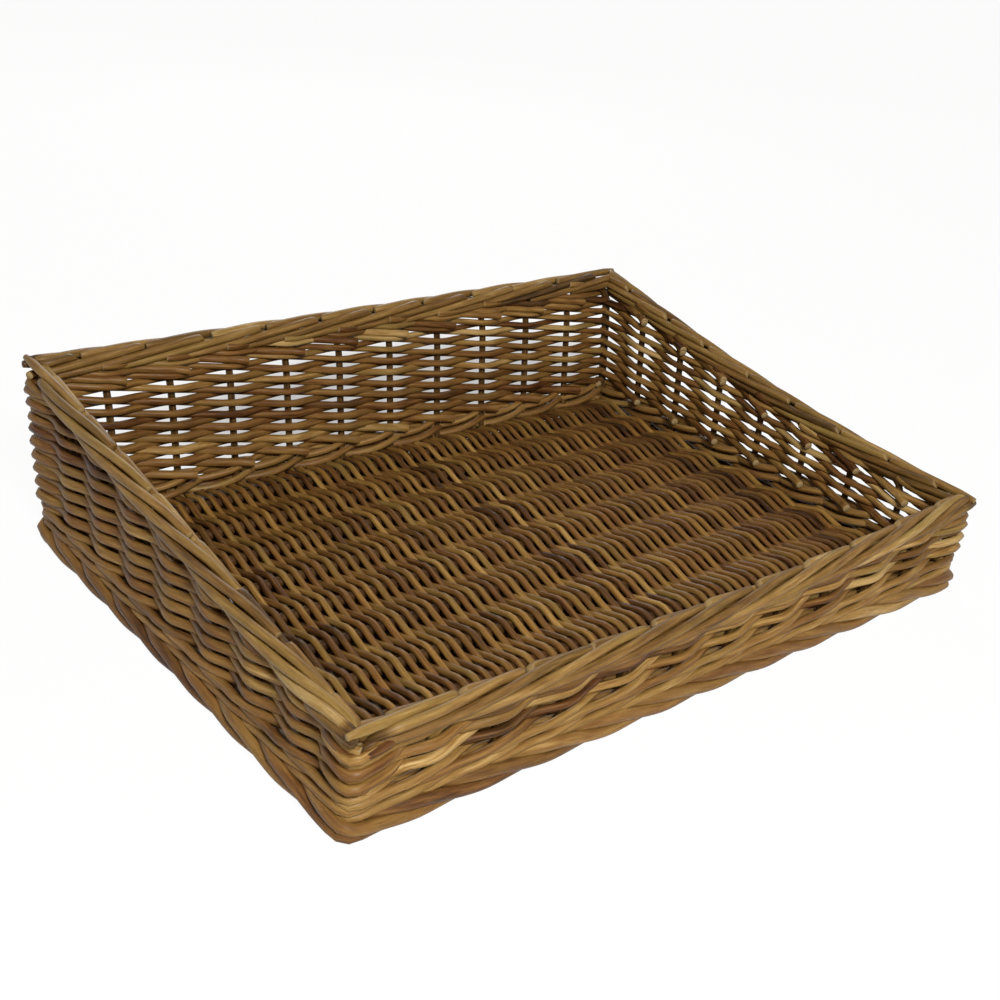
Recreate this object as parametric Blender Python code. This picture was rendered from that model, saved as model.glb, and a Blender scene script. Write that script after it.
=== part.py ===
"""Sloping wicker tray: willow stakes, base sticks, woven walls and base, and a rolled border.

Metres, +Z up, +X to the right along the long side and +Y to the high back. The tray is first laid
out as an upright box round the walls' middle planes. Its walls then lean outwards together, so
rods that clear each other in the box also do so in the leaning tray.
"""

import math
from dataclasses import dataclass

import bpy
from mathutils import Vector

# Overall sizes
TRAY_LENGTH = 0.600
TRAY_DEPTH = 0.430
BACK_HEIGHT = 0.145
FRONT_HEIGHT = 0.080

# Outward lean of each wall
BACK_LEAN_ANGLE = math.radians(7.9)
FRONT_LEAN_ANGLE = math.radians(2.8)
LEFT_LEAN_ANGLE = math.radians(0.8)
RIGHT_LEAN_ANGLE = math.radians(1.9)

# Rods
STAKE_DIAMETER = 0.0068
POST_DIAMETER = 0.0084
BORDER_ROD_DIAMETER = 0.0076
WALE_DIAMETER = 0.0084
WEAVER_DIAMETER = 0.0052
STICK_DIAMETER = 0.0078
BASE_WEAVER_DIAMETER = 0.0070

# Fits between rods, and heights
CLEARANCE = 0.0004
BORDER_GAP = 0.0006
WEAVER_GAP = 0.0008
BASE_WEAVER_GAP = 0.0085
STICK_HEIGHT = 0.0130
STAKE_LIFT = 0.0010
BORDER_BEND = 0.0060
BORDER_CORNER_RADIUS = 0.0140

# Counts of rods, and the bays between stakes that a border rod runs over
LONG_STAKES = 10
SIDE_STAKES = 7
STICKS = 9
WALE_ROWS = 2
LEG_BAYS = 3.8
BORDER_STATIONS_PER_BAY = 2

# Each bay, a border rod climbs one fifth of the way round the border's core
BORDER_TURN_ANGLE = math.radians(72)
BORDER_START_ANGLE = math.radians(-90)

# A weaver turns back round its last stake on three straight chords
TURN_CHORD_ANGLE = math.radians(60)
TURN_COSINE = math.cos(TURN_CHORD_ANGLE / 2)

# A row turns back in an open bay only where this much of the bay lies behind it
SHORTEST_BAY_SHARE = 0.35

# Sides of a rod as Blender's bevel resolution, and how far a six-sided rod's flat lies from its axis
FOUR_SIDES = 0
SIX_SIDES = 1
SIX_FLAT_SHARE = math.cos(math.radians(30))

# Finishes: colour as linear red, green and blue, and roughness
BORDER_FINISH = ((0.330, 0.205, 0.090), 0.38)
WALE_FINISH = ((0.290, 0.170, 0.075), 0.42)
WEAVER_FINISH = ((0.300, 0.170, 0.065), 0.38)
STICK_FINISH = ((0.130, 0.055, 0.022), 0.50)
BASE_WEAVER_FINISH = ((0.210, 0.110, 0.042), 0.42)


@dataclass
class Rod:
    """One rod of willow as the line of its axis."""

    name: str
    points: list
    radius: float
    finish: tuple
    sides: int = SIX_SIDES
    twist: str = "MINIMUM"
    scales: tuple = ()


def bulge(core, spacing):
    """Swing of a weaver that passes a stake at `core` from its axis and crosses over in `spacing`."""
    return core / math.cos(math.atan2(2 * core, spacing))


# How far the foot's rods swing either side of a wall's middle plane
WALE_CORE = (STAKE_DIAMETER + WALE_DIAMETER) / 2 + CLEARANCE
WALE_REACH = bulge(WALE_CORE, TRAY_DEPTH / (SIDE_STAKES + 1)) + WALE_DIAMETER / 2

# The walls' middle planes
HALF_LENGTH = TRAY_LENGTH / 2 - WALE_REACH
HALF_DEPTH = TRAY_DEPTH / 2 - WALE_REACH

# The border's rods lie round a core line, at a radius that keeps neighbours clear of each other
STATION_COSINE = math.cos(BORDER_TURN_ANGLE / BORDER_STATIONS_PER_BAY / 2)
BORDER_RADIUS = (BORDER_ROD_DIAMETER + BORDER_GAP) / (
    2 * math.sin(BORDER_TURN_ANGLE / 2) * STATION_COSINE
)
BORDER_REACH = BORDER_RADIUS + BORDER_ROD_DIAMETER / 2

WALE_BASE = WALE_DIAMETER / 2 * SIX_FLAT_SHARE
WALE_PITCH = WALE_DIAMETER + CLEARANCE
WEAVER_PITCH = WEAVER_DIAMETER + WEAVER_GAP
WEAVER_START = WALE_BASE + (WALE_ROWS - 1) * WALE_PITCH + (WALE_DIAMETER + WEAVER_DIAMETER) / 2 + CLEARANCE


def leaning(x, y, z):
    """Place in the leaning tray of a point of the upright box."""
    right_share = (x / HALF_LENGTH + 1) / 2
    back_share = (y / HALF_DEPTH + 1) / 2
    lean_x = right_share * math.tan(RIGHT_LEAN_ANGLE) - (1 - right_share) * math.tan(LEFT_LEAN_ANGLE)
    lean_y = back_share * math.tan(BACK_LEAN_ANGLE) - (1 - back_share) * math.tan(FRONT_LEAN_ANGLE)
    return Vector((x + z * lean_x, y + z * lean_y, z))


def rim_height(y):
    """Height of the border's core line, which slopes evenly from the back down to the front."""
    back_share = (y / HALF_DEPTH + 1) / 2
    return back_share * BACK_HEIGHT + (1 - back_share) * FRONT_HEIGHT - BORDER_REACH


def weave_limit(y):
    """Height of the highest weaver's axis that stays clear of the border."""
    return rim_height(y) - BORDER_RADIUS - BORDER_BEND - CLEARANCE - WEAVER_DIAMETER / 2


class Wall:
    """The middle plane of one wall, from one corner to the next."""

    def __init__(self, name, start, end, stakes):
        self.name = name
        self.start = start
        self.length = (end - start).length
        self.along = (end - start).normalized()
        across = Vector((self.along.y, -self.along.x))
        self.out = across if across.dot(start + end) > 0 else -across
        self.bay = self.length / (stakes + 1)
        self.stakes = [self.bay * number for number in range(1, stakes + 1)]

    def upright(self, along, out):
        """Plan of a point `along` the wall and `out` from its middle plane, in the upright box."""
        return self.start + self.along * along + self.out * out

    def place(self, along, out, height):
        plan = self.upright(along, out)
        return leaning(plan.x, plan.y, height)


BACK_LEFT = Vector((-HALF_LENGTH, HALF_DEPTH))
BACK_RIGHT = Vector((HALF_LENGTH, HALF_DEPTH))
FRONT_LEFT = Vector((-HALF_LENGTH, -HALF_DEPTH))
FRONT_RIGHT = Vector((HALF_LENGTH, -HALF_DEPTH))

LEFT_WALL = Wall("left", BACK_LEFT, FRONT_LEFT, SIDE_STAKES)
FRONT_WALL = Wall("front", FRONT_LEFT, FRONT_RIGHT, LONG_STAKES)
BACK_WALL = Wall("back", BACK_LEFT, BACK_RIGHT, LONG_STAKES)
RIGHT_WALL = Wall("right", BACK_RIGHT, FRONT_RIGHT, SIDE_STAKES)


class Border:
    """The rolled border, whose rods run on round all four walls.

    A place along it is counted in bays from the back left corner, down the left wall first.
    """

    def __init__(self, walls):
        self.walls = walls
        self.corners = [0]
        for wall in walls:
            self.corners.append(self.corners[-1] + len(wall.stakes) + 1)
        self.bays = self.corners.pop()

    def core(self, bay):
        """Plan of the core line and its outward direction at a place counted in bays."""
        place = bay % self.bays
        number = sum(place >= corner for corner in self.corners) - 1
        wall = self.walls[number]
        along = (place - self.corners[number]) * wall.bay
        if along < BORDER_CORNER_RADIUS:
            return self.rounded(along, self.walls[number - 1], wall)
        if wall.length - along < BORDER_CORNER_RADIUS:
            return self.rounded(along - wall.length, wall, self.walls[(number + 1) % len(self.walls)])
        return wall.upright(along, 0), wall.out

    def rounded(self, past, arriving, leaving):
        """Core line on the arc at a corner, by how far past the corner its place on the walls lies."""
        share = (1 + past / BORDER_CORNER_RADIUS) / 2
        out = arriving.out * math.cos(share * math.pi / 2) + leaving.out * math.sin(share * math.pi / 2)
        centre = leaving.start - (arriving.out + leaving.out) * BORDER_CORNER_RADIUS
        return centre + out * BORDER_CORNER_RADIUS, out

    def place(self, bay, stake):
        """Axis, at `bay`, of the border rod that a stake sends along from its own place."""
        plan, out = self.core(bay)
        height = rim_height(plan.y)
        angle = BORDER_START_ANGLE + (bay - stake) * BORDER_TURN_ANGLE
        plan = plan + out * (BORDER_RADIUS * math.cos(angle))
        return leaning(plan.x, plan.y, height + BORDER_RADIUS * math.sin(angle))

    def stations(self, first, last):
        """Places in bays from `first` to `last`: half bays, and the points of the arcs at corners."""
        steps = range(math.ceil(first * BORDER_STATIONS_PER_BAY), math.ceil(last * BORDER_STATIONS_PER_BAY))
        places = [step / BORDER_STATIONS_PER_BAY for step in steps]
        arcs = []
        for lap in (0, self.bays):
            for number, corner in enumerate(self.corners):
                here = lap + corner
                before = here - BORDER_CORNER_RADIUS / self.walls[number - 1].bay
                after = here + BORDER_CORNER_RADIUS / self.walls[number].bay
                places = [place for place in places if not before < place < after]
                arcs += [before, here + (before - here) / 3, here + (after - here) / 3, after]
        places = [place for place in places + arcs if first < place < last]
        return [first] + sorted(places) + [last]

    def leg(self, stake, first):
        """Axis of a border rod from a place in bays to its cut end."""
        return [self.place(bay, stake) for bay in self.stations(first, stake + LEG_BAYS)]


BORDER = Border(
    (
        LEFT_WALL,
        FRONT_WALL,
        Wall("right", FRONT_RIGHT, BACK_RIGHT, SIDE_STAKES),
        Wall("back", BACK_RIGHT, BACK_LEFT, LONG_STAKES),
    )
)


# The corner at which each of the border's walls starts
CORNER_NAMES = {"left": "back_left", "front": "front_left", "right": "front_right", "back": "back_right"}


def bent_stake(name, number, wall, along, diameter):
    """A stake that stands in its wall, then bends over and runs along as a border rod.

    Its foot stays off the ground, so that the tray stands on its foot wales alone.
    """
    knee = rim_height(wall.upright(along, 0).y) - BORDER_RADIUS - BORDER_BEND
    upright = [wall.place(along, 0, STAKE_LIFT), wall.place(along, 0, knee)]
    leg = BORDER.leg(number, number + BORDER_BEND / wall.bay)
    chord_middle = (upright[-1] + leg[0]) / 2
    bend = (chord_middle + BORDER.place(number, number)) / 2
    points = upright + [bend] + leg
    ratio = BORDER_ROD_DIAMETER / diameter
    scales = [1] * len(upright) + [ratio] * (len(leg) + 1)
    return Rod(name, points, diameter / 2, BORDER_FINISH, scales=tuple(scales))


def stakes():
    """Every stake of the four walls, numbered from the back or from the left, and the corner posts."""
    rods = []
    for wall, corner in zip(BORDER.walls, BORDER.corners):
        rods.append(bent_stake(f"corner_post_{CORNER_NAMES[wall.name]}", corner, wall, 0, POST_DIAMETER))
        for place, along in enumerate(wall.stakes):
            forward = wall in (LEFT_WALL, FRONT_WALL)
            label = place + 1 if forward else len(wall.stakes) - place
            name = f"stake_{wall.name}_{label:02d}"
            rods.append(bent_stake(name, corner + 1 + place, wall, along, STAKE_DIAMETER))
    return rods


def woven(rows):
    """Points (along, across, up) of one rod that is woven to and fro past its stations.

    A row is its height and its stations, and a station is its place along and the weaver's swing
    there. The rod turns back round the last station of one row and the first of the next.
    """
    points = []
    for number, (height, stations) in enumerate(rows):
        last = len(stations) - 1
        forward = number % 2 == 0
        order = range(last + 1) if forward else range(last, -1, -1)
        for station in order:
            along, swing = stations[station]
            side = 1 if (station + number) % 2 == 0 else -1
            ending = station in (0, last)
            points.append((along, side * (swing / TURN_COSINE if ending else swing), height))
        if number + 1 == len(rows):
            break
        rise = rows[number + 1][0] - height
        away = swing if forward else -swing
        half_chord = swing / TURN_COSINE * math.sin(TURN_CHORD_ANGLE / 2)
        points.append((along + away, side * half_chord, height + rise / 3))
        points.append((along + away, -side * half_chord, height + rise * 2 / 3))
    return points


def crossing_stations(places, cores):
    """Pairs of place and swing, where the nearer neighbour sets how far a weaver has to swing."""
    swings = []
    for number, core in enumerate(cores):
        nearby = [near for near in (number - 1, number + 1) if 0 <= near < len(places)]
        spacings = [abs(places[number] - places[near]) for near in nearby]
        swings.append(core if number in (0, len(cores) - 1) else bulge(core, min(spacings)))
    return list(zip(places, swings))


def wall_places(wall, diameter):
    """Where a wall's weaver passes or turns, and how far from that place's axis it has to keep.

    On the long walls it turns round the corner posts. On the side walls it turns back in front of
    what goes round them.
    """
    at_post = (POST_DIAMETER + diameter) / 2 + CLEARANCE
    at_stake = (STAKE_DIAMETER + diameter) / 2 + CLEARANCE
    if wall in (BACK_WALL, FRONT_WALL):
        inset, at_end = 0, at_post
    else:
        at_end = diameter / 2 + CLEARANCE
        inset = at_post / TURN_COSINE + diameter + CLEARANCE + at_end
    places = [inset, *wall.stakes, wall.length - inset]
    cores = [at_end] + [at_stake] * len(wall.stakes) + [at_end]
    return places, cores


def reach_under_border(wall, height):
    """How far along its wall a row at this height gets before the sloping border comes down to it."""
    first, last = (weave_limit(wall.upright(along, 0).y) for along in (0, wall.length))
    if height < last + CLEARANCE / 2:
        return math.inf
    return wall.length * (first - height) / (first - last)


def cut_back(wall, places, cores, reach):
    """The places that a row gets to within its reach, and a last turn in the open bay beyond them."""
    within = [place for place, core in zip(places, cores) if place + core + WEAVER_DIAMETER / 2 < reach]
    kept = len(within)
    if kept in (0, len(places)):
        return within, cores[:kept]
    hairpin = WEAVER_DIAMETER / 2 + CLEARANCE
    bay_end = places[kept] - STAKE_DIAMETER / 2 - CLEARANCE
    turn = min(reach, bay_end) - hairpin - WEAVER_DIAMETER / 2
    if turn - within[-1] < wall.bay * SHORTEST_BAY_SHARE:
        return within, cores[:kept]
    return within + [turn], cores[:kept] + [hairpin]


def wall_rows(wall):
    """A wall's rows, each a height and the stations that it reaches under the border."""
    places, cores = wall_places(wall, WEAVER_DIAMETER)
    span = weave_limit(wall.start.y) - WEAVER_START
    gaps = math.floor(span / WEAVER_PITCH)
    heights = [WEAVER_START + span * number / gaps for number in range(gaps + 1)]
    rows = []
    for first in range(0, len(heights), 2):
        pair = heights[first : first + 2]
        reached = cut_back(wall, places, cores, reach_under_border(wall, pair[-1]))
        if len(reached[0]) < 2:
            break
        stations = crossing_stations(*reached)
        rows += [(height, stations) for height in pair]
    return rows


def wall_weave(wall):
    points = [wall.place(*point) for point in woven(wall_rows(wall))]
    return Rod(f"weave_{wall.name}", points, WEAVER_DIAMETER / 2, WEAVER_FINISH, FOUR_SIDES, "Z_UP")


def foot_wale(wall):
    """The thick rod woven round the stakes' feet. Its lowest row lies with a flat on the ground."""
    stations = crossing_stations(*wall_places(wall, WALE_DIAMETER))
    rows = [(WALE_BASE + row * WALE_PITCH, stations) for row in range(WALE_ROWS)]
    points = [wall.place(*point) for point in woven(rows)]
    return Rod(f"foot_wale_{wall.name}", points, WALE_DIAMETER / 2, WALE_FINISH, SIX_SIDES, "Z_UP")


def wale_swing(wall, along):
    """How far a foot wale lies from its wall's middle plane at a place along the wall."""
    stations = crossing_stations(*wall_places(wall, WALE_DIAMETER))
    for (start, swing), (end, next_swing) in zip(stations, stations[1:]):
        if start <= along <= end:
            share = (along - start) / (end - start)
            return abs(swing - share * (swing + next_swing))
    return stations[0][1]


STICK_CORE = (STICK_DIAMETER + BASE_WEAVER_DIAMETER) / 2 + CLEARANCE
STICK_EDGE = HALF_DEPTH - WALE_REACH - CLEARANCE - STICK_CORE - BASE_WEAVER_DIAMETER / 2
STICK_PLACES = [STICK_EDGE * (1 - 2 * number / (STICKS - 1)) for number in range(STICKS)]


def base_stick(number):
    """A stick along the base, whose ends stop at the side walls' foot wales."""
    y = STICK_PLACES[number]
    ends = []
    for wall, side in ((LEFT_WALL, -1), (RIGHT_WALL, 1)):
        along = HALF_DEPTH - y
        swings = [wale_swing(wall, along + step * STICK_DIAMETER / 2) for step in (-1, 0, 1)]
        reach = HALF_LENGTH - max(swings) - WALE_DIAMETER / 2 / TURN_COSINE - CLEARANCE
        ends.append(leaning(side * reach, y, STICK_HEIGHT))
    return Rod(f"base_stick_{number + 1:02d}", ends, STICK_DIAMETER / 2, STICK_FINISH)


def base_weave():
    """One rod woven to and fro over and under the base sticks, from the left wall to the right."""
    half_width = HALF_LENGTH - WALE_REACH - CLEARANCE - BASE_WEAVER_DIAMETER / 2
    passes = math.floor(2 * half_width / (BASE_WEAVER_DIAMETER + BASE_WEAVER_GAP)) + 1
    pitch = 2 * half_width / (passes - 1)
    stations = crossing_stations(STICK_PLACES, [STICK_CORE] * STICKS)
    rows = [(-half_width + number * pitch, stations) for number in range(passes)]
    points = []
    for y, up, x in woven(rows):
        points.append(leaning(x, y, STICK_HEIGHT + up))
    return Rod("base_weave", points, BASE_WEAVER_DIAMETER / 2, BASE_WEAVER_FINISH, FOUR_SIDES)


def finish_material(rod):
    """The rod's own Principled material."""
    colour, roughness = rod.finish
    material = bpy.data.materials.new(f"willow_{rod.name}")
    material.use_nodes = True
    shader = material.node_tree.nodes["Principled BSDF"]
    shader.inputs["Base Color"].default_value = (*colour, 1)
    shader.inputs["Roughness"].default_value = roughness
    shader.inputs["Metallic"].default_value = 0
    return material


def add_rod(rod, collection, parent):
    """Makes the rod as a curve object with a round bevel and filled ends."""
    curve = bpy.data.curves.new(rod.name, "CURVE")
    curve.dimensions = "3D"
    curve.twist_mode = rod.twist
    curve.bevel_depth = rod.radius
    curve.bevel_resolution = rod.sides
    curve.use_fill_caps = True
    spline = curve.splines.new("POLY")
    spline.points.add(len(rod.points) - 1)
    scales = rod.scales or [1] * len(rod.points)
    for point, place, scale in zip(spline.points, rod.points, scales):
        point.co = (*place, 1)
        point.radius = scale
    curve.materials.append(finish_material(rod))
    rod_object = bpy.data.objects.new(rod.name, curve)
    rod_object.parent = parent
    collection.objects.link(rod_object)
    return rod_object


def footprint_centre(objects):
    """Middle of the made rods' bounding box in plan."""
    bpy.context.view_layer.update()
    corners = [corner for made in objects for corner in made.bound_box]
    middles = []
    for axis in (0, 1):
        places = [corner[axis] for corner in corners]
        middles.append((min(places) + max(places)) / 2)
    return middles


def main():
    for old in list(bpy.data.objects):
        bpy.data.objects.remove(old)
    rods = stakes()
    rods += [base_stick(number) for number in range(STICKS)] + [base_weave()]
    for wall in (LEFT_WALL, FRONT_WALL, BACK_WALL, RIGHT_WALL):
        rods += [foot_wale(wall), wall_weave(wall)]
    collection = bpy.data.collections.new("wicker_tray")
    bpy.context.scene.collection.children.link(collection)
    root = bpy.data.objects.new("tray_origin", None)
    collection.objects.link(root)
    made = [add_rod(rod, collection, root) for rod in rods]
    middle_x, middle_y = footprint_centre(made)
    root.location = (-middle_x, -middle_y, 0)
    print(f"{len(rods)} rods, tray middle at {middle_x:.4f}, {middle_y:.4f} before centring")


if __name__ == "__main__":
    main()
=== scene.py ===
"""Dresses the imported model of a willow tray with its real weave, finishes, light and camera."""

import sys

import logging
import math
import random
from dataclasses import dataclass, field
from enum import Enum

import bmesh
import bpy
from mathutils import Matrix, Vector


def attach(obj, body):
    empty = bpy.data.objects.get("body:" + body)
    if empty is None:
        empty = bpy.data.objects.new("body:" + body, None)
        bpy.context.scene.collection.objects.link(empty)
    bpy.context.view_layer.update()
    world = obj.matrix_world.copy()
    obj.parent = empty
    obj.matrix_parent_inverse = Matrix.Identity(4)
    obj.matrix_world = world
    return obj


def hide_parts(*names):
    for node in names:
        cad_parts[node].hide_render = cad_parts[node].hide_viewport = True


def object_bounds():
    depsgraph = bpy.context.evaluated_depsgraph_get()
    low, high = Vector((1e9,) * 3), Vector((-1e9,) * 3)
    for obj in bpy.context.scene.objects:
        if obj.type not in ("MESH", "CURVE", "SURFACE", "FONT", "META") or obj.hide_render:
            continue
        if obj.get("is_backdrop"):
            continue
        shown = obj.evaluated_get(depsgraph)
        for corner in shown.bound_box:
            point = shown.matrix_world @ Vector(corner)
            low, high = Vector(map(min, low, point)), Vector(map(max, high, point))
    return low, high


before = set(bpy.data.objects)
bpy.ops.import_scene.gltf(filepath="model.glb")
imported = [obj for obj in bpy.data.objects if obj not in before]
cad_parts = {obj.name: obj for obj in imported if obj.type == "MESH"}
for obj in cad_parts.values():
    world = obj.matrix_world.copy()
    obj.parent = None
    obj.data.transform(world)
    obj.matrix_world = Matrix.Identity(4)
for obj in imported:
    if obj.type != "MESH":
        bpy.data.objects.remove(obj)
CAD_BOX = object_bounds()

LOG = logging.getLogger("willow_tray")
MM = 0.001

# A rod is the points of its middle line and its diameter at each.
Rod = tuple[list[Vector], list[float]]


class Wall(Enum):
    """The four walls, in the order in which the rods pass them."""

    LEFT = "left"
    FRONT = "front"
    RIGHT = "right"
    BACK = "back"

    @property
    def number(self) -> int:
        """Its place in that order, from 0."""
        return list(Wall).index(self)


class Slot(Enum):
    """The record's material slots."""

    BORDER = "border_willow"
    WALE = "wale_willow"
    WALL = "wall_willow"
    BASE = "base_willow"
    STICK = "stick_willow"


def linear(hex_colour: str) -> tuple[float, float, float, float]:
    """Turns an sRGB hex colour to linear light.

    Args:
        hex_colour: Six hex digits, with or without a leading hash.

    Returns:
        The colour as linear red, green, blue and an alpha of 1.
    """
    digits = hex_colour.lstrip("#")
    shares = [int(digits[k : k + 2], 16) / 255 for k in (0, 2, 4)]
    light = [s / 12.92 if s <= 0.04045 else ((s + 0.055) / 1.055) ** 2.4 for s in shares]
    return light[0], light[1], light[2], 1.0


def add_node(tree: bpy.types.NodeTree, kind: str, links: dict | None = None, **settings) -> bpy.types.Node:
    """Adds a shader node with its settings, socket values and incoming links.

    Args:
        tree: The node tree.
        kind: The node's type name.
        links: For each input socket, a value or an output socket that feeds it.
        settings: Properties of the node.

    Returns:
        The new node.
    """
    node = tree.nodes.new(kind)
    for name, value in settings.items():
        setattr(node, name, value)
    for key, value in (links or {}).items():
        if isinstance(value, bpy.types.NodeSocket):
            tree.links.new(value, node.inputs[key])
        else:
            node.inputs[key].default_value = value
    return node


def add_object(name: str, data: bpy.types.ID) -> bpy.types.Object:
    """Adds an object to the scene.

    Args:
        name: Its name.
        data: Its mesh, camera or light.

    Returns:
        The object.
    """
    made = bpy.data.objects.new(name, data)
    bpy.context.scene.collection.objects.link(made)
    return made


def add_mesh(name: str, shape: bmesh.types.BMesh, material: bpy.types.Material) -> bpy.types.Object:
    """Turns a finished bmesh into a dressed object.

    Args:
        name: The object's name.
        shape: The bmesh, which is freed.
        material: Its finish.

    Returns:
        The object.
    """
    data = bpy.data.meshes.new(name)
    shape.to_mesh(data)
    shape.free()
    data.materials.append(material)
    return add_object(name, data)


@dataclass(frozen=True)
class WillowFinish:
    """Willow rod with its bark skin, steamed brown and woven damp: a satin skin over long fibres.

    The skin shows streaks along each rod, dark bud scars and a tone of its own on every rod. Cut ends
    show the pale pith. The real streaks are well under a millimetre wide, too fine to show, and are
    drawn about 2 mm wide. Their number round the rod is 2 pi times streaks_round.
    """

    name: str
    shades: tuple[str, ...]
    pith: str = "8a7550"
    roughness: float = 0.42
    smoother: float = 0.09
    rougher: float = 0.13
    gloss: float = 0.2
    ior: float = 1.48
    tint: str = "706531"
    tint_share: float = 0.3
    streak_length: float = 26 * MM
    streaks_round: float = 1.5
    streak_contrast: float = 1.3
    scar_spacing: float = 9 * MM
    scar_depth: float = 0.6
    relief: float = 0.4 * MM
    relief_share: float = 0.35

    def make(self) -> bpy.types.Material:
        """Makes the material.

        Returns:
            The material, which reads the rod's UV map and its tone and pith attributes.
        """
        made = bpy.data.materials.new(self.name)
        made.use_nodes = True
        tree = made.node_tree
        shader = tree.nodes["Principled BSDF"]
        place = self.skin_place(tree)
        streaks = add_node(tree, "ShaderNodeTexNoise", {
            "Vector": place, "Scale": 1.0, "Detail": 5.0, "Roughness": 0.62}).outputs["Fac"]
        tone = add_node(tree, "ShaderNodeAttribute", attribute_name="tone").outputs["Fac"]
        spread = add_node(tree, "ShaderNodeMath", {
            0: streaks, 1: self.streak_contrast, 2: -self.streak_contrast / 2}, operation="MULTIPLY_ADD")
        shade = add_node(tree, "ShaderNodeMath", {0: tone, 1: spread.outputs[0]}, operation="ADD",
                         use_clamp=True)
        ramp = add_node(tree, "ShaderNodeValToRGB", {"Fac": shade.outputs[0]})
        self.colour_ramp(ramp.color_ramp)
        skin = self.tinted(tree, ramp.outputs["Color"], place, tone)
        scarred, scars = self.scarred(tree, skin, place)
        pith = add_node(tree, "ShaderNodeAttribute", attribute_name="pith").outputs["Fac"]
        cut = add_node(tree, "ShaderNodeMix", {"Factor": pith, "A": scarred, "B": linear(self.pith)},
                       data_type="RGBA")
        tree.links.new(cut.outputs["Result"], shader.inputs["Base Color"])
        satin = add_node(tree, "ShaderNodeMapRange", {
            "Value": streaks, "From Min": 0.3, "From Max": 0.7, "To Min": self.roughness - self.smoother,
            "To Max": self.roughness + self.rougher})
        tree.links.new(satin.outputs["Result"], shader.inputs["Roughness"])
        shader.inputs["IOR"].default_value = self.ior
        shader.inputs["Specular IOR Level"].default_value = self.gloss
        height = add_node(tree, "ShaderNodeMath", {0: scars, 1: -self.scar_depth, 2: streaks},
                          operation="MULTIPLY_ADD")
        bump = add_node(tree, "ShaderNodeBump", {
            "Strength": self.relief_share, "Distance": self.relief, "Height": height.outputs[0]})
        tree.links.new(bump.outputs["Normal"], shader.inputs["Normal"])
        return made

    def skin_place(self, tree: bpy.types.NodeTree) -> bpy.types.NodeSocket:
        """Wraps the UV map round the rod, so that no seam shows, with long patterns along it.

        Args:
            tree: The material's nodes.

        Returns:
            A vector: metres along the rod over the streak length, and a circle round it.
        """
        skin = add_node(tree, "ShaderNodeUVMap", uv_map="rod")
        parts = add_node(tree, "ShaderNodeSeparateXYZ", {0: skin.outputs["UV"]})
        along = add_node(tree, "ShaderNodeMath", {0: parts.outputs["X"], 1: 1 / self.streak_length},
                         operation="MULTIPLY")
        turn = add_node(tree, "ShaderNodeMath", {0: parts.outputs["Y"], 1: math.tau}, operation="MULTIPLY")
        circle = []
        for wave in ("COSINE", "SINE"):
            swing = add_node(tree, "ShaderNodeMath", {0: turn.outputs[0]}, operation=wave)
            circle.append(add_node(tree, "ShaderNodeMath", {0: swing.outputs[0], 1: self.streaks_round},
                                   operation="MULTIPLY").outputs[0])
        return add_node(tree, "ShaderNodeCombineXYZ", {
            "X": along.outputs[0], "Y": circle[0], "Z": circle[1]}).outputs[0]

    def colour_ramp(self, ramp: bpy.types.ColorRamp) -> None:
        """Spreads the skin's shades from the darkest rods to the lightest.

        Args:
            ramp: The ramp of the rods' tones.
        """
        while len(ramp.elements) < len(self.shades):
            ramp.elements.new(0.5)
        for k, shade in enumerate(self.shades):
            ramp.elements[k].position = k / (len(self.shades) - 1)
            ramp.elements[k].color = linear(shade)

    def tinted(self, tree: bpy.types.NodeTree, colour: bpy.types.NodeSocket,
               place: bpy.types.NodeSocket, tone: bpy.types.NodeSocket) -> bpy.types.NodeSocket:
        """Lays patches of the tint over the skin, about 12 cm long and fainter on dark rods.

        Args:
            tree: The material's nodes.
            colour: The skin's colour so far.
            place: The wrapped place on the rod.
            tone: The rod's tone.

        Returns:
            The tinted colour.
        """
        patches = add_node(tree, "ShaderNodeTexNoise", {"Vector": place, "Scale": 0.21, "Detail": 2.0})
        share = add_node(tree, "ShaderNodeMapRange", {
            "Value": patches.outputs["Fac"], "From Min": 0.45, "From Max": 0.7, "To Min": 0.0,
            "To Max": 3 * self.tint_share})
        toned = add_node(tree, "ShaderNodeMath", {0: share.outputs["Result"], 1: tone}, operation="MULTIPLY")
        return add_node(tree, "ShaderNodeMix", {
            "Factor": toned.outputs[0], "A": colour, "B": linear(self.tint)},
            data_type="RGBA").outputs["Result"]

    def scarred(self, tree: bpy.types.NodeTree, colour: bpy.types.NodeSocket,
                place: bpy.types.NodeSocket) -> tuple[bpy.types.NodeSocket, bpy.types.NodeSocket]:
        """Adds dark bud scars and flecks.

        Args:
            tree: The material's nodes.
            colour: The skin's colour so far.
            place: The wrapped place on the rod.

        Returns:
            The colour with the scars, and the share of scar at each point.
        """
        cells = add_node(tree, "ShaderNodeTexVoronoi", {
            "Vector": place, "Scale": self.streak_length / self.scar_spacing})
        scars = add_node(tree, "ShaderNodeMapRange", {
            "Value": cells.outputs["Distance"], "From Min": 0.05, "From Max": 0.17, "To Min": 0.62,
            "To Max": 0.0}).outputs["Result"]
        mix = add_node(tree, "ShaderNodeMix", {"Factor": scars, "A": colour, "B": linear(self.shades[0])},
                       data_type="RGBA")
        return mix.outputs["Result"], scars


# Rim rods are rubbed by hands: honey brown with a soft sheen, painted lighter than the wall rods as they lie
# in the light.
BORDER_SKIN = WillowFinish("steamed_willow_border", ("301e0a", "553b1a", "715329", "886b3b", "a98f60"),
                           tint="75642f", tint_share=0.22)
# Thick rods round the foot keep more of their bark: a redder brown, and duller.
WALE_SKIN = WillowFinish("steamed_willow_foot", ("2c190a", "533518", "6d4c25", "826334", "a38655"),
                         gloss=0.18, tint="6b5428")
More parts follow.
